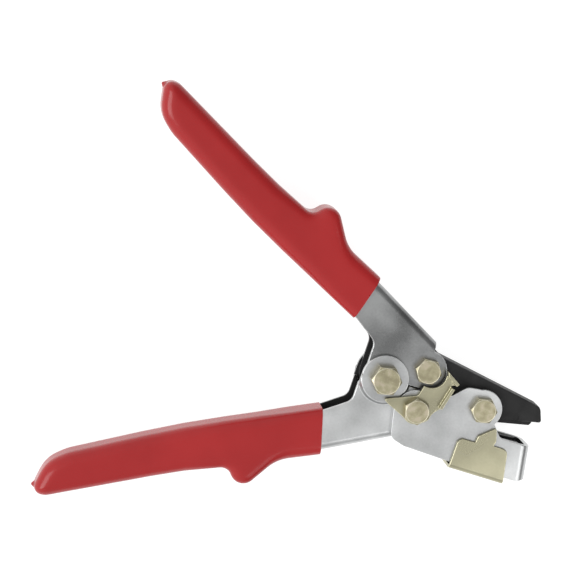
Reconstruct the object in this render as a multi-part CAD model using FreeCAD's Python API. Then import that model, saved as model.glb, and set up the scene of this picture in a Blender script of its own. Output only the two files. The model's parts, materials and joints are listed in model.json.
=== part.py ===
import FreeCAD, Part
import math
import os

V = FreeCAD.Vector

# Compound-action hand punch for sheet siding.
# Millimetres.  The tool lies on its back: the pivots stand along +Z and the
# jaws point along +X.  The handle pivot is modelled at (0, 0) and the middle of the
# thickness at z = 0; every piece is moved by SHIFT when it is written.
SHIFT = V(30.6, 0.0, 16.4)

# ---- pivots (jaws open) -------------------------------------------------
HANDLE_PIVOT = V(0.0, 0.0, 0.0)
LINK_X = 18.1
LINK_Y = 9.4
UPPER_LINK = V(LINK_X, LINK_Y, 0.0)
LOWER_LINK = V(LINK_X, -LINK_Y, 0.0)
JAW_PIVOT = V(48.8, 0.0, 0.0)

# ---- thickness stack, measured from the middle of the tool --------------
SHEET = 2.0            # handle sheet
CHANNEL_OUT = 8.0      # outside of the handle channels
CHANNEL_IN = CHANNEL_OUT - SHEET
LOBE_IN = 8.15         # raised lobe of the lower handle, and the lower jaw plates
LOBE_OUT = LOBE_IN + SHEET
JAW_PLATE_OUT = 10.4
UPPER_JAW_HALF = 5.7
WAVE_WASHER = 0.5
LATCH_SHEET = 1.6
LATCH_LOW = JAW_PLATE_OUT + WAVE_WASHER
LATCH_TOP = LATCH_LOW + LATCH_SHEET
STOP_SHEET = 1.6
GRIP_HALF = 10.0

# ---- fasteners ----------------------------------------------------------
MAIN_BOLT_D = 7.94
LINK_BOLT_D = 6.35
RUNNING = 0.08         # radial clearance of a bolt in the piece that turns on it
SNUG = 0.03            # radial clearance of a bolt in the piece it rides with
LINK_PLAY = 0.35       # radial clearance of the open link hole of the upper jaw
MAIN_HEX = 12.7
LINK_HEX = 11.1
MAIN_HEAD_H = 5.3
LINK_HEAD_H = 4.1
MAIN_NUT_H = 5.6
LINK_NUT_H = 4.9
BOLT_STICK_OUT = 0.65
NYLON_WALL = 1.25
NYLON_H = 1.6

# ---- handles ------------------------------------------------------------
LOBE_R = 11.2          # raised lobe of the lower handle
UPPER_LOBE_R = 10.0    # lobe of the upper handle, turning inside the raised one
POCKET_R = 10.35       # inside of the raised lobe
JOGGLE = 1.2           # radial run of the slope between the two levels
EAR_R = 9.4
SPINE_END_X = 18.5
BEND_R = 4.0
EAR_GAP = 0.3          # the ears stop this far from the middle line

# ---- jaws ---------------------------------------------------------------
JAW_EAR_R = 9.2
JAW_LOBE_R = 9.3
NOSE_BEND_R = 5.0
NOSE_X = 74.9          # nose face at the height of the pivots
NOSE_SLOPE = 0.182     # forward lean of the nose face, going down
DIE_TOP = -10.9
BLADE_HALF = 3.0


def rounded(corners):
    """Closed face from (x, y, radius) corners, with tangent arcs at the corners."""
    edges = []
    count = len(corners)
    starts = []
    ends = []
    arcs = []
    for i in range(count):
        x, y, radius = corners[i]
        here = V(x, y, 0)
        back = V(corners[i - 1][0], corners[i - 1][1], 0) - here
        ahead = V(corners[(i + 1) % count][0], corners[(i + 1) % count][1], 0) - here
        if radius <= 0:
            starts.append(here)
            ends.append(here)
            arcs.append(None)
            continue
        back.normalize()
        ahead.normalize()
        half = back.getAngle(ahead) / 2.0
        run = radius / math.tan(half)
        middle = back + ahead
        middle.normalize()
        centre = here + middle * (radius / math.sin(half))
        starts.append(here + back * run)
        ends.append(here + ahead * run)
        arcs.append(centre - middle * radius)
    for i in range(count):
        if arcs[i] is not None:
            edges.append(Part.Arc(starts[i], arcs[i], ends[i]).toShape())
        following = starts[(i + 1) % count]
        if ends[i].distanceToPoint(following) > 1e-6:
            edges.append(Part.LineSegment(ends[i], following).toShape())
    return Part.Face(Part.Wire(edges))


def slab(corners, low, high):
    """The rounded outline, from z = low to z = high."""
    face = rounded(corners)
    face.translate(V(0, 0, low))
    return face.extrude(V(0, 0, high - low))


def disc(centre, radius, low, high):
    return Part.makeCylinder(radius, high - low, V(centre.x, centre.y, low))


def ring(centre, outer, inner, low, high):
    return disc(centre, outer, low, high).cut(disc(centre, inner, low - 1, high + 1))


def both_sides(shape):
    return shape.fuse(shape.mirror(V(0, 0, 0), V(0, 0, 1)))


def flipped(shape):
    """The same piece for the other handle."""
    return shape.mirror(V(0, 0, 0), V(0, 1, 0))


def box(x0, x1, y0, y1, z0, z1):
    return Part.makeBox(x1 - x0, y1 - y0, z1 - z0, V(x0, y0, z0))


def edges_at(shape, test):
    return [edge for edge in shape.Edges if test(edge)]


# ---- handles --------------------------------------------------------------
# Corners of the lower handle's side view.  The inner side is the open one.
INNER_SIDE = [(-27.0, -26.3, 60), (-77.0, -51.0, 300), (-128.0, -80.5, 20)]
TAIL_SIDE = [(-134.5, -84.8, 0), (-134.5, -99.6, 0)]
SPINE_SIDE = [(-75.0, -68.1, 200), (-16.0, -41.3, 200)]
SPINE_SLOPE = 0.5
SPINE_REACH = 6.5


def handle_outline(neck_x):
    corners = [(neck_x, 0.0, 0), (neck_x, -14.8, 5)]
    corners += INNER_SIDE + TAIL_SIDE + SPINE_SIDE
    corners += [(SPINE_END_X, -22.9, 0), (SPINE_END_X, -EAR_GAP, 0), (0.0, -EAR_GAP, 0), (0.0, 0.0, 0)]
    return corners


def cavity_outline():
    """Everything inside the spine: the same spine moved in by one sheet."""
    return [
        (-160.0, -110.85, 0), (-75.0, -65.85, 198), (-16.0, -39.05, 198), (40.0, -9.16, 0),
        (40.0, 40.0, 0), (-40.0, 40.0, 0), (-160.0, -60.0, 0),
    ]


def channel(neck_x):
    """The bent channel with its ear, without the lobe at the handle pivot."""
    body = slab(handle_outline(neck_x), -CHANNEL_OUT, CHANNEL_OUT)
    spine = edges_at(body, on_spine)
    body = body.makeFillet(BEND_R, spine)
    ear = disc(LOWER_LINK, EAR_R, -CHANNEL_OUT, CHANNEL_OUT)
    ear = ear.cut(box(0, 40, -EAR_GAP, 20, -20, 20))
    body = body.fuse(ear)
    hollow = slab(cavity_outline(), -CHANNEL_IN, CHANNEL_IN)
    hollow = hollow.makeFillet(BEND_R - SHEET, edges_at(hollow, on_spine))
    body = body.cut(hollow)
    return body


def midpoint(edge):
    return edge.valueAt((edge.FirstParameter + edge.LastParameter) / 2.0)


def on_spine(edge):
    """True for the level edges that follow the spine side, inside or outside the sheet."""
    if edge.BoundBox.ZLength > 0.01 or edge.BoundBox.XLength < 1.0:
        return False
    middle = midpoint(edge)
    start_x, start_y, _ = SPINE_SIDE[1]
    line = start_y + (middle.x - start_x) * SPINE_SLOPE
    return abs(middle.y - line) < SPINE_REACH


def lower_handle():
    body = channel(-LOBE_R)
    # the lobe at the handle pivot is pressed outwards over the upper handle
    slope_out = Part.makeCone(LOBE_R + JOGGLE, LOBE_R, LOBE_OUT - CHANNEL_OUT, V(0, 0, CHANNEL_OUT))
    slope_in = Part.makeCone(POCKET_R + JOGGLE, POCKET_R, LOBE_IN - CHANNEL_IN, V(0, 0, CHANNEL_IN))
    outline = slab(handle_outline(-LOBE_R), CHANNEL_IN - 1, LOBE_OUT + 1)
    outline = outline.fuse(disc(HANDLE_PIVOT, LOBE_R, CHANNEL_IN - 1, LOBE_OUT + 1))
    raised = slope_out.common(outline)
    raised = raised.cut(disc(LOWER_LINK, JAW_EAR_R + 0.35, CHANNEL_OUT, LOBE_OUT + 1))
    relief = box(-13.0, -6.0, -4.8, 0.1, CHANNEL_IN - 1, LOBE_IN)
    pocket = slope_in.fuse(relief)
    body = body.fuse(both_sides(raised))
    body = body.cut(both_sides(pocket))
    body = body.cut(disc(HANDLE_PIVOT, MAIN_BOLT_D / 2 + SNUG, -20, 20))
    body = body.cut(disc(LOWER_LINK, LINK_BOLT_D / 2 + RUNNING, -20, 20))
    return body.removeSplitter()


def upper_handle():
    body = channel(-UPPER_LOBE_R)
    lobe = ring(HANDLE_PIVOT, UPPER_LOBE_R, MAIN_BOLT_D / 2 + RUNNING, CHANNEL_IN, CHANNEL_OUT)
    body = body.cut(disc(HANDLE_PIVOT, MAIN_BOLT_D / 2 + RUNNING, -20, 20))
    body = body.fuse(both_sides(lobe))
    body = body.cut(disc(LOWER_LINK, LINK_BOLT_D / 2 + SNUG, -20, 20))
    return flipped(body.removeSplitter())


# ---- grips ----------------------------------------------------------------
GRIP_ROUND = 3.8         # rounding of the long sides
GRIP_CORNERS = [
    (-5.0, -13.8, 0), (-81.6, -50.2, 500), (-129.6, -77.8, 19), (-137.7, -84.8, 16),
    (-140.4, -100.7, 4), (-133.4, -100.4, 8), (-75.2, -69.9, 340), (-56.6, -62.2, 4.8),
    (-48.2, -72.4, 6.2), (-36.0, -52.8, 18), (1.0, -35.7, 0),
]
GRIP_MOUTH = [(-23.1, -22.4), (-17.0, -44.0)]
NIB_R = 1.6
NIB_AT = V(-139.4, -97.7, 0)      # the drip at the tail


def grip():
    """Moulded grip with a finger guard.  Its core fills the channel inside."""
    body = slab(GRIP_CORNERS, -GRIP_HALF, GRIP_HALF)
    rim = edges_at(body, lambda edge: edge.BoundBox.ZLength < 0.01 and edge.BoundBox.XMax < 0.99)
    body = body.makeFillet(GRIP_ROUND, rim)
    body = body.cut(past_the_mouth())
    body = body.fuse(Part.makeSphere(NIB_R, NIB_AT))
    return body.cut(channel(-LOBE_R))


def past_the_mouth():
    """Everything on the pivot's side of the line where the grip ends."""
    inner, outer = [V(x, y, 0) for x, y in GRIP_MOUTH]
    step = outer - inner
    reach = V(60, 0, 0)
    corners = [inner - step, outer + step, outer + step + reach, inner - step + reach]
    return slab([(corner.x, corner.y, 0) for corner in corners], -20, 20)


# ---- fasteners ------------------------------------------------------------
def hexagon(across, low, high, centre, turn):
    points = []
    for i in range(7):
        angle = math.radians(turn + 60 * i)
        radius = across / math.sqrt(3)
        points.append(V(centre.x + radius * math.cos(angle), centre.y + radius * math.sin(angle), low))
    face = Part.Face(Part.makePolygon(points))
    return face.extrude(V(0, 0, high - low))


def chamfered(across, low, high, centre, turn, at_top):
    """Hexagon whose free end is turned down to a 30 degree chamfer."""
    body = hexagon(across, low, high, centre, turn)
    corner = across / math.sqrt(3)
    flat = across / 2 * 0.96
    drop = (corner - flat) * math.tan(math.radians(30))
    if at_top:
        blank = disc(centre, corner, low, high - drop)
        tip = Part.makeCone(corner, flat, drop, V(centre.x, centre.y, high - drop))
    else:
        blank = disc(centre, corner, low + drop, high)
        tip = Part.makeCone(flat, corner, drop, V(centre.x, centre.y, low))
    return body.common(blank.fuse(tip))


def bolt(centre, diameter, across, head_h, seat, end, turn):
    """Hex bolt with its head on top; the seat is the underside of the head."""
    head = chamfered(across, seat, seat + head_h, centre, turn, True)
    shank = disc(centre, diameter / 2, end, seat)
    tip = edges_at(shank, lambda edge: abs(edge.BoundBox.ZMax - end) < 0.01 and edge.BoundBox.ZLength < 0.01)
    shank = shank.makeChamfer(0.5, tip)
    return head.fuse(shank)


def lock_nut(centre, diameter, across, height, seat, turn):
    """Thin lock nut below its seat, with a pocket for the nylon ring."""
    body = chamfered(across, seat - height, seat, centre, turn, False)
    body = body.cut(disc(centre, diameter / 2 + SNUG, seat - height - 1, seat + 1))
    return body.cut(disc(centre, diameter / 2 + NYLON_WALL, seat - height, seat - height + NYLON_H))


def nylon_ring(centre, diameter, height, seat):
    return ring(centre, diameter / 2 + NYLON_WALL, diameter / 2, seat - height, seat - height + NYLON_H)


def bolt_end(seat, nut_h):
    return seat - nut_h - BOLT_STICK_OUT


# ---- handle pivot ---------------------------------------------------------
BUSHING_R = 6.0
SPRING_WIRE = 1.8
SPRING_R = 7.3
SPRING_TURNS = 3
SPRING_PITCH = 2.1
SPRING_LEG = 25.9


def handle_bushing():
    return ring(HANDLE_PIVOT, BUSHING_R, MAIN_BOLT_D / 2 + SNUG, -CHANNEL_IN + 0.05, CHANNEL_IN - 0.05)


def opening_spring():
    """Torsion spring round the bushing; one leg lies on each handle's spine."""
    height = SPRING_PITCH * SPRING_TURNS
    coil = Part.makeHelix(SPRING_PITCH, height, SPRING_R)
    start = V(SPRING_R, 0, 0)
    arcs = [Part.makeCircle(SPRING_WIRE / 2, start, V(0, 1, 0), a, a + 60) for a in range(0, 360, 60)]
    profile = Part.Wire(arcs)
    wire = Part.Wire(coil).makePipeShell([profile], True, True)
    leg = V(0, 1, SPRING_PITCH / (2 * math.pi * SPRING_R)) * SPRING_LEG
    end = Part.Face(profile)
    lower = end.extrude(leg * -1)
    end.translate(V(0, 0, height))
    upper = end.extrude(leg)
    spring = wire.fuse(upper).fuse(lower)
    spring.translate(V(0, 0, -height / 2))
    return spring


# ---- upper jaw and punch --------------------------------------------------
UPPER_JAW_CORNERS = [
    (9.6, 19.6, 8.0), (76.3, 8.5, 3.5), (79.2, 1.3, 1.2),
    (75.4, 0.6, 2), (58.6, -3.2, 2), (57.2, -8.9, 4), (40.5, -8.9, 10), (24.0, 0.8, 12), (9.6, 0.8, 8.0),
]
BLADE_CORNERS = [(59.6, 1.2, 0), (74.6, 4.4, 0), (75.2, -0.4, 0), (74.4, -1.8, 0.8), (58.9, -5.1, 0.4)]
BLADE_PIN = V(66.5, 0.3, 0)
BLADE_PIN_R = 1.5


def upper_jaw():
    body = slab(UPPER_JAW_CORNERS, -UPPER_JAW_HALF, UPPER_JAW_HALF)
    body = body.makeFillet(0.8, edges_at(body, lambda e: e.BoundBox.ZLength < 0.01))
    body = body.cut(slab(BLADE_CORNERS, -BLADE_HALF, BLADE_HALF))
    body = body.cut(disc(UPPER_LINK, LINK_BOLT_D / 2 + LINK_PLAY, -20, 20))
    body = body.cut(disc(JAW_PIVOT, LINK_BOLT_D / 2 + RUNNING, -20, 20))
    body = body.cut(disc(BLADE_PIN, BLADE_PIN_R, -20, 20))
    return body


def punch_blade():
    body = slab(BLADE_CORNERS, -BLADE_HALF, BLADE_HALF)
    return body.cut(disc(BLADE_PIN, BLADE_PIN_R, -20, 20))


def blade_pin():
    return disc(BLADE_PIN, BLADE_PIN_R, -UPPER_JAW_HALF + 0.3, UPPER_JAW_HALF - 0.3)


# ---- lower jaw, die and stop ----------------------------------------------
LOWER_JAW_CORNERS = [
    (8.6, -9.4, 0), (8.5, -12.6, 3), (11.4, -25.6, 4.5), (18.5, -27.6, 10), (45.0, -28.5, 60),
    (75.0, -28.1, 8), (82.0, -25.8, 0), (82.0, -10.4, 0), (61.5, -10.7, 3.5), (56.3, -5.0, 0),
    (48.8, 0.0, 0), (47.2, 9.0, 3), (38.6, 7.9, 5), (32.0, 1.2, 6), (18.1, -0.2, 0), (18.1, -9.4, 0),
]


DIE_PINS = [V(56.0, -19.5, 0), V(66.0, -22.5, 0)]
DIE_PIN_R = 2.0
DIE_CORNERS = [(54.2, -12.2, 1), (71.7, -10.7, 0.5), (73.6, -27.0, 1), (50.5, -27.8, 1), (49.5, -16.0, 1)]
SCREW_AT = V(61.0, -30.0, 0)
SCREW_R = 1.96
SCREW_HEAD_R = 3.6
SCREW_HEAD_LOW = -32.4
STOP_LOW = -31.2


def folded(half, nose_x, radius):
    """Plan view of the folded strip, swept along the slope of the nose."""
    face = rounded([(-30.0, -half, 0), (nose_x, -half, radius), (nose_x, half, radius), (-30.0, half, 0)])
    face.rotate(V(0, 0, 0), V(1, 0, 0), 90)
    slope = V(NOSE_SLOPE, -1.0, 0.0)
    face.translate(slope * -20.0)
    return face.extrude(slope * 60.0)


def lower_jaw():
    """One strip folded round the nose, so that both plates are the same."""
    body = slab(LOWER_JAW_CORNERS, -JAW_PLATE_OUT, JAW_PLATE_OUT)
    body = body.fuse(disc(JAW_PIVOT, JAW_LOBE_R, -JAW_PLATE_OUT, JAW_PLATE_OUT))
    body = body.fuse(disc(LOWER_LINK, JAW_EAR_R, -JAW_PLATE_OUT, JAW_PLATE_OUT)).removeSplitter()
    wall = JAW_PLATE_OUT - LOBE_IN
    body = body.common(folded(JAW_PLATE_OUT, NOSE_X, NOSE_BEND_R))
    body = body.cut(folded(LOBE_IN, NOSE_X - wall, NOSE_BEND_R - wall))
    body = body.cut(disc(LOWER_LINK, LINK_BOLT_D / 2 + SNUG, -20, 20))
    body = body.cut(disc(JAW_PIVOT, LINK_BOLT_D / 2 + SNUG, -20, 20))
    for pin in DIE_PINS:
        body = body.cut(disc(pin, DIE_PIN_R, -20, 20))
    return body


def die_block():
    body = slab(DIE_CORNERS, -LOBE_IN, LOBE_IN)
    body = body.cut(box(58.5, 77.0, -16.5, -5.0, -BLADE_HALF - 0.35, BLADE_HALF + 0.35))
    for pin in DIE_PINS:
        body = body.cut(disc(pin, DIE_PIN_R, -20, 20))
    return body.cut(screw_hole(SCREW_R))


def die_pin(centre):
    return disc(centre, DIE_PIN_R, -JAW_PLATE_OUT, JAW_PLATE_OUT)


def screw_hole(radius):
    return Part.makeCylinder(radius, 9.0, V(SCREW_AT.x, -31.5, 0), V(0, 1, 0))


STOP_CORNERS = [
    (42.0, -31.2, 0), (42.2, -17.6, 2.5), (44.0, -15.8, 1.5), (50.3, -15.8, 0.6), (50.8, -12.4, 1),
    (57.8, -6.4, 0.6), (60.0, -13.0, 3), (58.9, -14.9, 0.4), (66.4, -14.9, 2.5), (69.6, -31.2, 0),
]


def stop_plate():
    """Gauge plate clipped round the lower jaw from below."""
    top = JAW_PLATE_OUT + STOP_SHEET
    body = slab(STOP_CORNERS, -top, top)
    under = edges_at(body, lambda e: e.BoundBox.ZLength < 0.01 and e.BoundBox.YMax < -31.0)
    body = body.makeFillet(2.6, under)
    inner = box(30, 80, -29.6, 10, -JAW_PLATE_OUT, JAW_PLATE_OUT)
    rims = edges_at(inner, lambda e: abs(e.BoundBox.YMax + 29.6) < 0.01 and e.BoundBox.XLength > 10)
    inner = inner.makeFillet(1.0, rims)
    body = body.cut(inner)
    return body.cut(screw_hole(2.1))


def stop_screw():
    up = V(0, 1, 0)
    head = Part.makeCylinder(SCREW_HEAD_R, STOP_LOW - SCREW_HEAD_LOW, V(SCREW_AT.x, SCREW_HEAD_LOW, 0), up)
    rim = edges_at(head, lambda e: abs(e.BoundBox.YMax - SCREW_HEAD_LOW) < 0.01 and e.BoundBox.YLength < 0.01)
    head = head.makeFillet(0.7, rim)
    for x, z in ((0.5, 2.2), (2.2, 0.5)):
        slot = box(SCREW_AT.x - x, SCREW_AT.x + x, SCREW_HEAD_LOW - 0.1, SCREW_HEAD_LOW + 0.6, -z, z)
        head = head.cut(slot)
    return head.fuse(Part.makeCylinder(SCREW_R, 8.5, V(SCREW_AT.x, STOP_LOW, 0), up))


# ---- latch ----------------------------------------------------------------
LATCH_TAB = [(25.3, 13.3), (32.8, 8.8)]       # outside of the thumb tab
LATCH_WING = [(31.8, 5.7), (29.2, -5.2)]      # outside of the side wing
LATCH_CORNERS = [
    (2.0, -8.6, 0.8), (16.8, -2.6, 2), (18.2, 3.0, 1), (25.3, 13.3, 0),
    (32.8, 8.8, 0), (31.8, 7.1, 0), (30.1, 6.1, 0), (31.8, 5.7, 0), (29.2, -5.2, 0),
    (26.0, -8.5, 6), (25.2, -12.5, 4), (18.6, -17.4, 6.6), (12.0, -13.6, 2), (3.6, -9.9, 0.8),
]
LATCH_TURN = 6.0         # degrees of free travel with the handles open
LATCH_CLEAR = 6.75       # kept clear round the head of the upper link bolt


def upstand(ends, height):
    """Strip of the latch sheet bent up along its edge."""
    start = V(ends[0][0], ends[0][1], 0)
    end = V(ends[1][0], ends[1][1], 0)
    along = end - start
    along.normalize()
    inward = V(along.y, -along.x, 0) * LATCH_SHEET
    corners = [(p.x, p.y, 0) for p in (start, end, end + inward, start + inward)]
    return slab(corners, LATCH_LOW, LATCH_LOW + height)


def is_bend(edge):
    """True for the two bottom edges under the tab and the wing."""
    if edge.BoundBox.ZMax > LATCH_LOW + 0.01 or edge.Length < 6.0:
        return False
    middle = midpoint(edge)
    for start, end in (LATCH_TAB, LATCH_WING):
        across = (end[0] - start[0]) * (middle.y - start[1]) - (end[1] - start[1]) * (middle.x - start[0])
        if abs(across) < 0.3 and middle.x > 25.0:
            return True
    return False


def latch():
    body = slab(LATCH_CORNERS, LATCH_LOW, LATCH_TOP)
    body = body.fuse(upstand(LATCH_TAB, 5.6))
    body = body.fuse(upstand(LATCH_WING, 4.4))
    body = body.removeSplitter()
    body = body.makeFillet(1.2, edges_at(body, is_bend))
    body = body.cut(head_path())
    return body.cut(disc(LOWER_LINK, LINK_BOLT_D / 2 + RUNNING, -20, 20))


def head_path():
    """The way of the upper link bolt's head past the latch, as the latch turns."""
    turn = math.radians(LATCH_TURN)
    spread = 2 * LINK_Y
    moved = LOWER_LINK + V(math.sin(turn), math.cos(turn), 0) * spread
    along = moved - UPPER_LINK
    across = V(-along.y, along.x, 0)
    across.normalize()
    across *= LATCH_CLEAR
    corners = [UPPER_LINK + across, moved + across, moved - across, UPPER_LINK - across]
    path = slab([(corner.x, corner.y, 0) for corner in corners], 0, 30)
    path = path.fuse(disc(UPPER_LINK, LATCH_CLEAR, 0, 30))
    return path.fuse(disc(moved, LATCH_CLEAR, 0, 30)).removeSplitter()


def latch_washer():
    return ring(LOWER_LINK, 5.4, LINK_BOLT_D / 2 + RUNNING, JAW_PLATE_OUT, LATCH_LOW)


# ---- spacers --------------------------------------------------------------
def lower_spacer():
    return ring(LOWER_LINK, 5.0, LINK_BOLT_D / 2 + RUNNING, -CHANNEL_IN, CHANNEL_IN)


def jaw_spacer(side):
    body = ring(JAW_PIVOT, 7.5, LINK_BOLT_D / 2 + SNUG, UPPER_JAW_HALF + 0.05, LOBE_IN)
    if side < 0:
        body = body.mirror(V(0, 0, 0), V(0, 0, 1))
    return body


def build():
    pieces = {}
    pieces["lower_handle"] = lower_handle()
    pieces["upper_handle"] = upper_handle()
    pieces["lower_grip"] = grip()
    pieces["upper_grip"] = flipped(grip())
    pieces["handle_pivot_bolt"] = bolt(HANDLE_PIVOT, MAIN_BOLT_D, MAIN_HEX, MAIN_HEAD_H, LOBE_OUT,
                                       bolt_end(-LOBE_OUT, MAIN_NUT_H), 72)
    pieces["handle_pivot_nut"] = lock_nut(HANDLE_PIVOT, MAIN_BOLT_D, MAIN_HEX, MAIN_NUT_H, -LOBE_OUT, 20)
    pieces["handle_pivot_nylon"] = nylon_ring(HANDLE_PIVOT, MAIN_BOLT_D, MAIN_NUT_H, -LOBE_OUT)
    pieces["handle_pivot_bushing"] = handle_bushing()
    pieces["opening_spring"] = opening_spring()
    links = [
        ("upper_link", UPPER_LINK, CHANNEL_OUT, -CHANNEL_OUT, 63),
        ("lower_link", LOWER_LINK, LATCH_TOP, -JAW_PLATE_OUT, 48),
        ("jaw_pivot", JAW_PIVOT, JAW_PLATE_OUT, -JAW_PLATE_OUT, 72),
    ]
    for name, centre, seat, nut_seat, turn in links:
        tip = bolt_end(nut_seat, LINK_NUT_H)
        pieces[name + "_bolt"] = bolt(centre, LINK_BOLT_D, LINK_HEX, LINK_HEAD_H, seat, tip, turn)
        pieces[name + "_nut"] = lock_nut(centre, LINK_BOLT_D, LINK_HEX, LINK_NUT_H, nut_seat, turn + 25)
        pieces[name + "_nylon"] = nylon_ring(centre, LINK_BOLT_D, LINK_NUT_H, nut_seat)
    pieces["upper_jaw"] = upper_jaw()
    pieces["punch_blade"] = punch_blade()
    pieces["punch_pin"] = blade_pin()
    pieces["lower_jaw"] = lower_jaw()
    pieces["die_block"] = die_block()
    pieces["die_pin_throat"] = die_pin(DIE_PINS[0])
    pieces["die_pin_nose"] = die_pin(DIE_PINS[1])
    pieces["stop_plate"] = stop_plate()
    pieces["stop_screw"] = stop_screw()
    pieces["latch"] = latch()
    pieces["latch_washer"] = latch_washer()
    pieces["lower_link_spacer"] = lower_spacer()
    pieces["jaw_spacer_front"] = jaw_spacer(1)
    pieces["jaw_spacer_back"] = jaw_spacer(-1)
    return pieces


os.makedirs("parts", exist_ok=True)
for name, shape in build().items():
    shape.translate(SHIFT)
    shape.exportStep("parts/" + name + ".step")
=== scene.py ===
import bpy
import bmesh
import json
import math
from mathutils import Matrix, Vector
from mathutils.bvhtree import BVHTree

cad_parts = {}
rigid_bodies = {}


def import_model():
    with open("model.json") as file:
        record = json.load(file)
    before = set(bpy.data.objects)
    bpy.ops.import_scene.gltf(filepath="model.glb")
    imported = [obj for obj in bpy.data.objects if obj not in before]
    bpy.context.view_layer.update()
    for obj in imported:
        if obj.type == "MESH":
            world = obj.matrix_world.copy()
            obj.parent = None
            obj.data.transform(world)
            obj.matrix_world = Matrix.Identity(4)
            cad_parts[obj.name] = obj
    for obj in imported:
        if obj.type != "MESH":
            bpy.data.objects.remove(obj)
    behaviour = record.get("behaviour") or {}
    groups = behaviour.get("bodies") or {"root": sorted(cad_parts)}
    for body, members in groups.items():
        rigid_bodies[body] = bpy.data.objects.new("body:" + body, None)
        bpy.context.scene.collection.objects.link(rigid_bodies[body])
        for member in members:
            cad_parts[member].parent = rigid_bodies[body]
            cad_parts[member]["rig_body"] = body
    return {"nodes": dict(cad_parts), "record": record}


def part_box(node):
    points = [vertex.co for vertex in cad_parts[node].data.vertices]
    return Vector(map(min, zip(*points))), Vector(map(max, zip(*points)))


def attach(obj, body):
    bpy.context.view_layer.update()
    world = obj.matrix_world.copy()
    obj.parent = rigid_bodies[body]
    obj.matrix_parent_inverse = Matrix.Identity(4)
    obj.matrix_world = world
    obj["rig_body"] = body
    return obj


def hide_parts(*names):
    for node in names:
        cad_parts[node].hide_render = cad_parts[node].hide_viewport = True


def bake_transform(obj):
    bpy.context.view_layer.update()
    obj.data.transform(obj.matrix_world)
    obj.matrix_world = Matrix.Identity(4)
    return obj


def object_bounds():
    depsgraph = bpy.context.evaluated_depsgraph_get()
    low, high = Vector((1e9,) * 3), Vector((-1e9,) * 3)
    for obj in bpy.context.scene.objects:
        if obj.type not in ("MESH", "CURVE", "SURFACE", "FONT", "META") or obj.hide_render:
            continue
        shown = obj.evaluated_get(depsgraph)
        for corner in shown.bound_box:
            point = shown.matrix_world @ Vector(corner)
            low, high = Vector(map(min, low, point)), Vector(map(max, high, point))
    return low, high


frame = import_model()
cad_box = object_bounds()

# Shapes are given in millimetres from the handle pivot, half way through the tool's
# thickness; at() turns them into the frame's metres. Textures are given in metres.
MM = 0.001
NODES = frame["nodes"]
BODY_OF = {name: node["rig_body"] for name, node in NODES.items()}
SLOT_OF = {part["node"]: part["material_slot"] for part in frame["record"]["subparts"]}


def middle(node):
    low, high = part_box(node)
    return (low + high) / 2


PIVOT = middle("handle_pivot_bushing")


def at(x, y, z=0.0):
    return PIVOT + Vector((x, y, z)) * MM


def fill_ramp(node, stops):
    """Sets a colour ramp from (position, colour) stops; a single number stands for a grey."""
    elements = node.color_ramp.elements
    while len(elements) < len(stops):
        elements.new(0.5)
    for element, (position, colour) in zip(elements, stops):
        if not isinstance(colour, tuple):
            colour = grey(colour)
        element.position = position
        element.color = (*colour, 1)


def grey(value, tint=(1.0, 1.0, 1.0)):
    return tuple(value * part for part in tint)


# ---- materials --------------------------------------------------------------------
class Surface:
    """A material and the few node recipes that the finishes share."""

    def __init__(self, name):
        self.material = bpy.data.materials.new(name)
        self.material.use_nodes = True
        self.tree = self.material.node_tree
        self.shader = self.tree.nodes["Principled BSDF"]
        self.marks = None

    def add(self, kind, **settings):
        node = self.tree.nodes.new(kind)
        for key, value in settings.items():
            setattr(node, key, value)
        return node

    def link(self, out, socket):
        self.tree.links.new(out, socket)

    def feed(self, socket, out):
        self.link(out, self.shader.inputs[socket])

    def set(self, **values):
        for key, value in values.items():
            self.shader.inputs[key.replace("_", " ")].default_value = value

    def place(self, scale=(1, 1, 1), turn=0.0):
        """Object coordinates, stretched by scale after a turn about Z."""
        source = self.add("ShaderNodeTexCoord")
        mapping = self.add("ShaderNodeMapping")
        mapping.inputs["Scale"].default_value = scale
        mapping.inputs["Rotation"].default_value = (0, 0, turn)
        self.link(source.outputs["Object"], mapping.inputs["Vector"])
        return mapping.outputs["Vector"]

    def noise(self, vector, per_metre, detail=3.0):
        node = self.add("ShaderNodeTexNoise")
        node.inputs["Scale"].default_value = per_metre
        node.inputs["Detail"].default_value = detail
        self.link(vector, node.inputs["Vector"])
        return node.outputs["Fac"]

    def ramp(self, value, stops):
        node = self.add("ShaderNodeValToRGB")
        fill_ramp(node, stops)
        self.link(value, node.inputs["Fac"])
        return node.outputs["Color"]

    def sum(self, a, b, weight):
        """a + b * weight"""
        node = self.add("ShaderNodeMath", operation="MULTIPLY_ADD")
        self.link(b, node.inputs[0])
        node.inputs[1].default_value = weight
        self.link(a, node.inputs[2])
        return node.outputs["Value"]

    def product(self, a, b):
        node = self.add("ShaderNodeMath", operation="MULTIPLY")
        self.link(a, node.inputs[0])
        self.link(b, node.inputs[1])
        return node.outputs["Value"]

    def blend(self, share, under, over):
        """The plain colour over, laid on under by share."""
        node = self.add("ShaderNodeMix", data_type="RGBA")
        self.link(share, node.inputs["Factor"])
        self.link(under, node.inputs["A"])
        node.inputs["B"].default_value = (*over, 1)
        return node.outputs["Result"]

    def mark(self, channel):
        """The piece's marks: Red along edges, for wear and a painted highlight; Green inside a channel,
        for painted shade.
        """
        if self.marks is None:
            attribute = self.add("ShaderNodeAttribute", attribute_name="marks")
            self.marks = self.add("ShaderNodeSeparateColor")
            self.link(attribute.outputs["Color"], self.marks.inputs["Color"])
        return self.marks.outputs[channel]

    def bump(self, height, distance):
        node = self.add("ShaderNodeBump")
        node.inputs["Strength"].default_value = 1.0
        node.inputs["Distance"].default_value = distance
        self.link(height, node.inputs["Height"])
        self.feed("Normal", node.outputs["Normal"])


PAINTED_CHANNEL_SHADE = 0.05      # painted shade: the insides of the handles' channels are coloured near black, and made dull
INSIDE_ROUGH = 0.6


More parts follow.
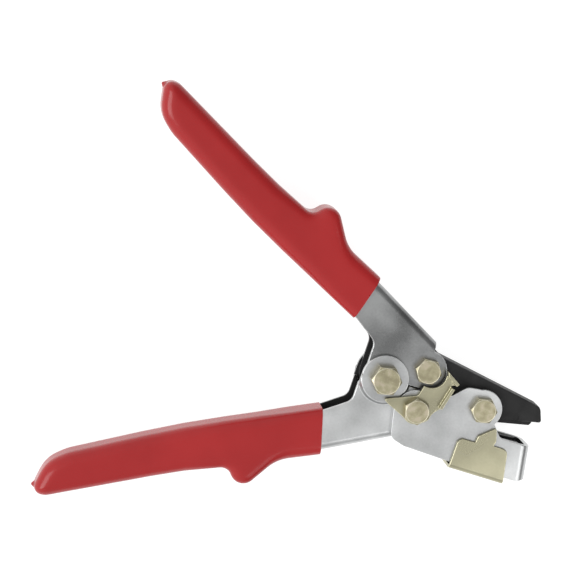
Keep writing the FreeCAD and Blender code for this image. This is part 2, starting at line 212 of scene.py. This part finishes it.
def plated(name, dark, light, tint, wear_and_highlight, rough, rolled=0.0):
    """Zinc on sheet steel: a satin, faintly clouded metal with rolling lines."""
    s = Surface(name)
    spot = s.place()
    mottle = s.noise(spot, 900)
    broad = s.noise(spot, 45, 2)
    cloud = s.sum(broad, mottle, 0.18)
    plate = s.ramp(cloud, [(0.42, grey(dark, tint)), (0.76, grey(light, tint))])
    # Red: wear and a painted highlight along the edges
    edge_wear_and_highlight = s.product(s.mark("Red"), s.ramp(mottle, [(0.3, 0.25), (0.6, 1.0)]))
    plate = s.blend(edge_wear_and_highlight, plate, grey(wear_and_highlight, tint))
    satin = s.ramp(broad, [(0.3, rough), (0.7, rough + 0.07)])
    # Green: painted shade inside the channels, laid over the plate's colour, with a duller roughness
    inside = s.mark("Green")
    s.feed("Base Color", s.blend(inside, plate, grey(PAINTED_CHANNEL_SHADE)))
    s.feed("Roughness", s.blend(inside, satin, grey(INSIDE_ROUGH)))
    lines = s.noise(s.place((30, 5200, 5200), rolled), 1.0, 2)
    grain = s.sum(s.noise(spot, 3200, 2), lines, 0.6)
    s.bump(s.sum(grain, broad, 8.0), 0.000004)
    s.set(Metallic=1.0)
    return s.material


def chromated():
    """Yellow zinc on bolts and nuts: the tint drifts between olive and straw."""
    s = Surface("zinc_yellow")
    spot = s.place()
    drift = s.noise(spot, 260, 4)
    fine = s.noise(spot, 1500)
    olive = (0.31, 0.28, 0.185)
    middling = (0.385, 0.355, 0.235)
    straw = (0.48, 0.425, 0.315)
    tint = s.ramp(drift, [(0.36, olive), (0.5, middling), (0.64, straw)])
    speck = s.ramp(fine, [(0.60, 0.0), (0.70, 0.55)])
    tint = s.blend(speck, tint, (0.52, 0.48, 0.36))
    # Red: wear and a painted highlight along the edges
    edge_wear_and_highlight = s.product(s.mark("Red"), s.ramp(fine, [(0.3, 0.4), (0.55, 1.0)]))
    s.feed("Base Color", s.blend(edge_wear_and_highlight, tint, (0.68, 0.65, 0.50)))
    s.feed("Roughness", s.ramp(fine, [(0.3, 0.30), (0.7, 0.44)]))
    s.bump(fine, 0.00003)
    s.set(Metallic=1.0)
    return s.material


def blackened():
    """Black oxide on machined steel, grey along the edges for wear and a painted highlight."""
    s = Surface("black_oxide")
    spot = s.place()
    broad = s.noise(spot, 150, 4)
    fine = s.noise(spot, 2400)
    coat = s.ramp(broad, [(0.3, 0.014), (0.7, 0.024)])
    # Red: wear and a painted grey highlight along the edges
    edge_wear_and_highlight = s.product(s.mark("Red"), s.ramp(broad, [(0.4, 0.05), (0.65, 0.6)]))
    s.feed("Base Color", s.blend(edge_wear_and_highlight, coat, grey(0.06)))
    s.feed("Roughness", s.ramp(fine, [(0.25, 0.44), (0.75, 0.6)]))
    s.bump(s.sum(fine, broad, 2.0), 0.00002)
    s.set(Metallic=0.0, Specular_IOR_Level=0.2)
    return s.material


def vinyl():
    """Glossy red vinyl with the slow waviness and fine peel of a dipped skin."""
    s = Surface("grip_vinyl")
    spot = s.place()
    broad = s.noise(spot, 30)
    fine = s.noise(spot, 1100, 2)
    s.feed("Base Color", s.ramp(broad, [(0.3, (0.31, 0.009, 0.010)), (0.7, (0.36, 0.013, 0.014))]))
    s.feed("Roughness", s.ramp(fine, [(0.3, 0.20), (0.7, 0.26)]))
    peel = s.sum(fine, s.noise(spot, 260, 2), 8.0)
    s.bump(s.sum(peel, broad, 120.0), 0.000003)
    s.set(Metallic=0.0, IOR=1.42)
    return s.material


def drawn(name, dark, light, rough):
    """Bare turned or drawn steel."""
    s = Surface(name)
    fine = s.noise(s.place(), 1800)
    s.feed("Base Color", s.ramp(fine, [(0.3, dark), (0.7, light)]))
    s.feed("Roughness", s.ramp(fine, [(0.3, rough), (0.7, rough + 0.12)]))
    s.bump(fine, 0.00001)
    s.set(Metallic=1.0)
    return s.material


def nylon():
    """The pale rings of the lock nuts."""
    s = Surface("nylon")
    fine = s.noise(s.place(), 1200)
    s.feed("Base Color", s.ramp(fine, [(0.3, (0.66, 0.64, 0.55)), (0.7, (0.74, 0.72, 0.64))]))
    s.feed("Roughness", s.ramp(fine, [(0.3, 0.38), (0.7, 0.5)]))
    s.bump(fine, 0.00001)
    s.set(Subsurface_Weight=0.1, Subsurface_Scale=0.001)
    return s.material


NEUTRAL = (0.985, 1.0, 1.0)
STRAW = (1.0, 0.95, 0.66)
FINISH = {
    "zinc_bright": plated("zinc_bright", 0.41, 0.61, NEUTRAL, 0.62, 0.27, math.radians(20)),
    "zinc_gold_sheet": plated("zinc_gold_sheet", 0.36, 0.48, STRAW, 0.74, 0.27),
    "zinc_yellow": chromated(),
    "black_oxide": blackened(),
    "grip_vinyl": vinyl(),
    "nylon": nylon(),
    "steel_bare": drawn("steel_bare", 0.42, 0.55, 0.25),
    "spring_steel": drawn("spring_steel", 0.14, 0.22, 0.32),
}
# painted shade: the upper handle gets a darker copy of the plated zinc, with its rolling lines turned the
# other way
PAINTED_SHADE_FINISH = {
    "upper_handle": plated("zinc_bright_upper_painted_shade", 0.19, 0.37, NEUTRAL, 0.56, 0.25, math.radians(-25)),
}


def finish_of(node):
    return PAINTED_SHADE_FINISH.get(node, FINISH[SLOT_OF[node]])


def given_finish(mesh, node):
    mesh.materials.clear()
    mesh.materials.append(finish_of(node))


def placed(name, mesh):
    piece = bpy.data.objects.new(name, mesh)
    bpy.context.scene.collection.objects.link(piece)
    return piece


for name, node in NODES.items():
    given_finish(node.data, name)


# ---- metal pieces with eased edges ------------------------------------------------
SHARP = math.radians(28)             # edges sharper than this are rounded
FLAT = math.radians(0.6)             # faces closer than this to one plane are joined
SMOOTH_BELOW = math.radians(38)
SLANT = (0.1, 0.9)                   # share of Z in the normal of a face that is neither level nor upright
INSIDE_Z = 6.4 * MM                  # the channels' inner faces lie within this of the middle,
POCKET_Z = 8.3 * MM                  # or within this where they face inwards
SPINE_WAY = {"lower_handle": Vector((0.415, -0.91, 0)), "upper_handle": Vector((0.415, 0.91, 0))}


def is_inside(node, face):
    """True for the faces inside a handle's channel."""
    height = face.calc_center_median().z - PIVOT.z
    facing = face.normal.z * math.copysign(1.0, height)
    if facing < -0.5 and abs(height) < POCKET_Z:
        return True
    return abs(height) < INSIDE_Z and face.normal.dot(SPINE_WAY[node]) < 0.2


def paint(layer, faces, colour):
    for face in faces:
        for loop in face.loops:
            loop[layer] = colour


def rounded(bm, width):
    """Rounds the sharp edges; gives back the new faces."""
    surface = BVHTree.FromBMesh(bm)
    sharp = [e for e in bm.edges if len(e.link_faces) == 2 and e.calc_face_angle(0) > SHARP]
    made = bmesh.ops.bevel(bm, geom=sharp, offset=width * MM, segments=2, profile=0.5, affect="EDGES",
                           clamp_overlap=False, loop_slide=True, face_strength_mode="ALL")
    for vertex in bm.verts:
        spot, _, _, off = surface.find_nearest(vertex.co)
        if off > width * MM:         # a corner that the rounding threw off the part
            vertex.co = spot
    return made["faces"]


def eased(node, width, merge):
    """A copy of a CAD node whose sharp edges are rounded, its edges marked for wear and a painted
    highlight and its channels' insides marked for painted shade.
    """
    mesh = NODES[node].data.copy()
    mesh.name = "eased_" + node
    bm = bmesh.new()
    bm.from_mesh(mesh)
    bmesh.ops.remove_doubles(bm, verts=bm.verts, dist=merge * MM)
    bmesh.ops.dissolve_limit(bm, angle_limit=FLAT, verts=bm.verts, edges=bm.edges)
    # rounded edges, or slanted faces where nothing is rounded, get wear and a painted highlight
    if width > 0:
        wear_and_highlight = rounded(bm, width)
    else:
        wear_and_highlight = [face for face in bm.faces if SLANT[0] < abs(face.normal.z) < SLANT[1]]
    marks = bm.loops.layers.float_color.new("marks")
    paint(marks, bm.faces, (0, 0, 0, 1))
    paint(marks, wear_and_highlight, (1, 0, 0, 1))
    # Green marks the channels' insides, which get painted shade
    if node in SPINE_WAY:
        paint(marks, [face for face in bm.faces if is_inside(node, face)], (0, 1, 0, 1))
    bmesh.ops.triangulate(bm, faces=[f for f in bm.faces if len(f.verts) > 4])
    for face in bm.faces:
        face.smooth = True
    bm.to_mesh(mesh)
    bm.free()
    mesh.set_sharp_from_angle(angle=SMOOTH_BELOW)
    given_finish(mesh, node)
    piece = placed("eased_" + node, mesh)
    weighted = piece.modifiers.new("flat_faces", "WEIGHTED_NORMAL")
    weighted.keep_sharp = True
    weighted.weight = 90
    weighted.use_face_influence = width > 0
    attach(piece, BODY_OF[node])
    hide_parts(node)


FASTENER_EDGE = 0.16
EDGE = {
    "upper_handle": 0.35, "lower_handle": 0.35, "lower_jaw": 0.22, "stop_plate": 0.3, "latch": 0.25,
    "upper_jaw": 0, "punch_blade": 0.15, "die_block": 0.2, "stop_screw": 0.15,
}
for name in NODES:
    if name.endswith("_bolt") or name.endswith("_nut"):
        EDGE[name] = FASTENER_EDGE
MERGE = 0.12                         # vertices closer than this are joined first
OWN_MERGE = {"lower_jaw": 0.05}
for name, width in EDGE.items():
    eased(name, width, OWN_MERGE.get(name, MERGE))


def spring():
    """A smooth-shaded copy of the opening spring in place of the CAD one; it is attached to neither handle
    and keeps its shape.
    """
    mesh = NODES["opening_spring"].data.copy()
    for face in mesh.polygons:
        face.use_smooth = True
    mesh.set_sharp_from_angle(angle=SMOOTH_BELOW)
    piece = placed("wound_spring", mesh)
    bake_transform(piece)
    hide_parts("opening_spring")


spring()


# ---- grips ------------------------------------------------------------------------
# Corners of the lower grip's outline with their radii, anticlockwise. The first and the
# last lie past the mouth, where the grip is cut off straight.
GRIP_CORNERS = [
    (-5.0, -13.8, 1.0), (-81.6, -50.2, 500), (-129.6, -77.8, 19), (-137.7, -84.8, 16),
    (-140.4, -100.7, 4), (-133.4, -100.4, 8), (-75.2, -69.9, 340), (-56.6, -62.2, 4.8),
    (-48.2, -72.4, 6.2), (-36.0, -52.8, 18), (1.0, -35.7, 1.0),
]
MOUTH = (Vector((-23.1, -22.4)), Vector((-17.0, -44.0)))
MOUTH_EASE = 0.35
GRIP_HALF = 10.0
GRIP_ROUND = 5.6                     # rounding of the long sides
TIGHT_ROUND = 3.8                    # rounding about the thumb stop and the mouth's inner corner
TIGHT_PLACES = [(Vector((-49.0, -66.0)), 26.0), (MOUTH[0], 30.0)]    # and how far each reaches
CROWN = 0.35                         # the faces fall away this much towards the sides,
CROWN_REACH = 9.0                    # over this width
NIB_AT = Vector((-139.4, -97.7, 0.0))
NIB_R = 1.6
NIB_MARGIN = 0.4
VOXEL = 0.8
SNAP = 0.7 * VOXEL
SMOOTHING = 3


def outline_of(corners, step=8.0):
    """Points along the rounded outline; each arc is cut into a few degrees."""
    points = []
    for i, (x, y, radius) in enumerate(corners):
        here = Vector((x, y))
        back = (Vector(corners[i - 1][:2]) - here).normalized()
        ahead = (Vector(corners[(i + 1) % len(corners)][:2]) - here).normalized()
        half = back.angle(ahead) / 2
        centre = here + (back + ahead).normalized() * (radius / math.sin(half))
        arm = here + back * (radius / math.tan(half)) - centre
        sweep = math.copysign(math.pi - 2 * half, back.y * ahead.x - back.x * ahead.y)
        count = max(2, math.ceil(abs(math.degrees(sweep)) / step))
        for k in range(count + 1):
            points.append(centre + Matrix.Rotation(sweep * k / count, 2) @ arm)
    return points


def nearest(point, ring):
    """Depth inside the outline, the nearest point on it and the way in from there."""
    best = None
    for a, b in ring:
        along = b - a
        share = (point - a).dot(along) / max(along.length_squared, 1e-12)
        spot = a + along * max(0.0, min(1.0, share))
        reach = (spot - point).length
        if best is None or reach < best[0]:
            best = (reach, spot, along)
    reach, spot, along = best
    inward = Vector((-along.y, along.x)).normalized()
    if reach > VOXEL / 2 and (point - spot).dot(inward) > 0:
        inward = (point - spot).normalized()
    return (point - spot).dot(inward), spot, inward


def snapped(depth, height):
    """The remeshed wall stands a little off the true one: this puts it back."""
    if depth < SNAP:
        depth = 0.0
    if abs(height) > GRIP_HALF - SNAP:
        height = math.copysign(GRIP_HALF, height)
    return depth, height


def rounding_by(spot):
    """The rim is rounded less near the tight places."""
    near = max(1 - (spot - place).length / reach for place, reach in TIGHT_PLACES)
    return GRIP_ROUND - (GRIP_ROUND - TIGHT_ROUND) * max(0.0, min(1.0, 2 * near))


def rounded_in(depth, height, radius):
    """Moves a point on a square rim onto the rim's rounding."""
    over = radius - depth
    rise = abs(height) - (GRIP_HALF - radius)
    if over <= 0 or rise <= 0:
        return depth, height
    pull = min(1.0, radius / math.hypot(over, rise))
    return radius - over * pull, math.copysign(GRIP_HALF - radius + rise * pull, height)


def grip_block(outline):
    """An even mesh of the grip's slab and nib, all edges still square."""
    bm = bmesh.new()
    face = bm.faces.new([bm.verts.new((p.x, p.y, -GRIP_HALF)) for p in outline])
    lid = bmesh.ops.extrude_face_region(bm, geom=[face])
    top = [v for v in lid["geom"] if isinstance(v, bmesh.types.BMVert)]
    bmesh.ops.translate(bm, verts=top, vec=(0, 0, 2 * GRIP_HALF))
    bmesh.ops.create_icosphere(bm, subdivisions=3, radius=NIB_R, matrix=Matrix.Translation(NIB_AT))
    bmesh.ops.recalc_face_normals(bm, faces=bm.faces)
    mesh = bpy.data.meshes.new("grip_block")
    bm.to_mesh(mesh)
    bm.free()
    block = placed("grip_block", mesh)
    remesh = block.modifiers.new("even", "REMESH")
    remesh.mode = "VOXEL"
    remesh.voxel_size = VOXEL
    made = bpy.data.meshes.new_from_object(block.evaluated_get(bpy.context.evaluated_depsgraph_get()))
    bpy.data.objects.remove(block)
    return made


def grip_mesh():
    """The lower grip, its rims drawn in and its faces crowned."""
    outline = outline_of(GRIP_CORNERS)
    ring = [(outline[i - 1], outline[i]) for i in range(len(outline))]
    made = grip_block(outline)
    nib_reach = NIB_R + NIB_MARGIN
    for vertex in made.vertices:
        flat = Vector(vertex.co[:2])
        height = vertex.co.z
        depth, spot, inward = nearest(flat, ring)
        on_nib = (flat - NIB_AT.to_2d()).length < nib_reach and abs(height) < nib_reach
        if not on_nib:
            new_depth, height = rounded_in(*snapped(depth, height), rounding_by(spot))
            if new_depth != depth:
                flat = spot + inward * new_depth
        fall = max(0.0, 1.0 - depth / CROWN_REACH)
        height *= 1 - CROWN / GRIP_HALF * fall * fall
        vertex.co = (flat.x, flat.y, height)
    return made


def cut_at_mouth(bm):
    """Takes off what lies past the mouth's straight cut and closes the end."""
    along = MOUTH[1] - MOUTH[0]
    cut = bmesh.ops.bisect_plane(bm, geom=bm.verts[:] + bm.edges[:] + bm.faces[:],
                                 plane_co=MOUTH[0].to_3d(), plane_no=Vector((-along.y, along.x, 0)),
                                 clear_outer=True)
    rim = [e for e in cut["geom_cut"] if isinstance(e, bmesh.types.BMEdge)]
    end = bmesh.ops.contextual_create(bm, geom=rim)["faces"]
    bmesh.ops.bevel(bm, geom=list(end[0].edges), offset=MOUTH_EASE, segments=2, profile=0.5,
                    affect="EDGES", clamp_overlap=True)


def grip(node, side):
    """side is -1 for the lower grip and 1 for its mirror image above."""
    mesh = grip_mesh()
    bm = bmesh.new()
    bm.from_mesh(mesh)
    for _ in range(SMOOTHING):
        bmesh.ops.smooth_vert(bm, verts=bm.verts, factor=0.5,
                              use_axis_x=True, use_axis_y=True, use_axis_z=True)
    cut_at_mouth(bm)
    for vertex in bm.verts:
        vertex.co = at(vertex.co.x, vertex.co.y * -side, vertex.co.z)
    bmesh.ops.recalc_face_normals(bm, faces=bm.faces)
    for face in bm.faces:
        face.smooth = True
    bm.to_mesh(mesh)
    bm.free()
    given_finish(mesh, node)
    piece = placed("vinyl_" + node, mesh)
    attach(piece, BODY_OF[node])
    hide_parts(node)


grip("lower_grip", -1)
grip("upper_grip", 1)


# ---- floor, light and camera ------------------------------------------------------
FLOOR_SIZE = 6.0
FLOOR_DROP = 0.0004                  # metres under the tool, so that the two don't share a plane
KEY_WAY = (-0.94, -0.34, 0.0)        # level direction of the key light, between the handles' ends


def floor():
    spot = (PIVOT.x, PIVOT.y, cad_box[0].z - FLOOR_DROP)
    bpy.ops.mesh.primitive_plane_add(size=FLOOR_SIZE, location=spot)
    plane = bpy.context.object
    plane.name = "floor"
    s = Surface("floor")
    s.set(Base_Color=(0.3, 0.3, 0.3, 1), Roughness=0.9)
    s.set(Emission_Color=(1, 1, 1, 1), Emission_Strength=0.86)
    plane.data.materials.append(s.material)


def studio():
    """White tent: bright on the key light's side, shaded on the other."""
    world = bpy.data.worlds.new("studio")
    bpy.context.scene.world = world
    world.use_nodes = True
    tree = world.node_tree
    source = tree.nodes.new("ShaderNodeTexCoord")
    towards = tree.nodes.new("ShaderNodeVectorMath")
    towards.operation = "DOT_PRODUCT"
    towards.inputs[1].default_value = KEY_WAY
    half = tree.nodes.new("ShaderNodeMath")
    half.operation = "MULTIPLY_ADD"
    half.inputs[1].default_value = 0.5
    half.inputs[2].default_value = 0.5
    shade = tree.nodes.new("ShaderNodeValToRGB")
    fill_ramp(shade, [(0.0, 0.25), (0.3, 0.40), (0.47, 0.80), (0.6, 1.0), (0.85, 1.15)])
    tree.links.new(source.outputs["Generated"], towards.inputs[0])
    tree.links.new(towards.outputs["Value"], half.inputs[0])
    tree.links.new(half.outputs["Value"], shade.inputs["Fac"])
    tree.links.new(shade.outputs["Color"], tree.nodes["Background"].inputs["Color"])


def panel(name, x, y, z, size, power):
    """Soft square light, aimed at the pivot."""
    lamp = bpy.data.lights.new(name, "AREA")
    lamp.shape = "SQUARE"
    lamp.size = size
    lamp.energy = power
    holder = placed(name, lamp)
    holder.location = at(x, y, z)
    holder.rotation_mode = "QUATERNION"
    holder.rotation_quaternion = (PIVOT - holder.location).to_track_quat("-Z", "Y")


# The camera looks down on the tool from just past the upper handle.
VIEW_FROM = Vector((-0.1582, 0.1255, 0.9794)).normalized()
VIEW_UP = Vector((-0.2974, 0.9398, -0.1685))
VIEW_DISTANCE = 1.0
VIEW_CENTRE = (-55.6, 25.7)
LENS = 134.7
SENSOR = 36


def camera():
    eye = placed("camera", bpy.data.cameras.new("camera"))
    eye.data.lens = LENS
    eye.data.sensor_width = SENSOR
    eye.location = at(*VIEW_CENTRE) + VIEW_FROM * VIEW_DISTANCE
    right = VIEW_UP.cross(VIEW_FROM).normalized()
    up = VIEW_FROM.cross(right)
    eye.rotation_mode = "QUATERNION"
    eye.rotation_quaternion = Matrix((right, up, VIEW_FROM)).transposed().to_quaternion()
    bpy.context.scene.camera = eye


floor()
studio()
panel("key", -1000, -360, 900, 0.8, 7)
panel("fill", 800, -300, 1000, 0.8, 4)
camera()
bpy.context.scene.view_settings.view_transform = "Standard"
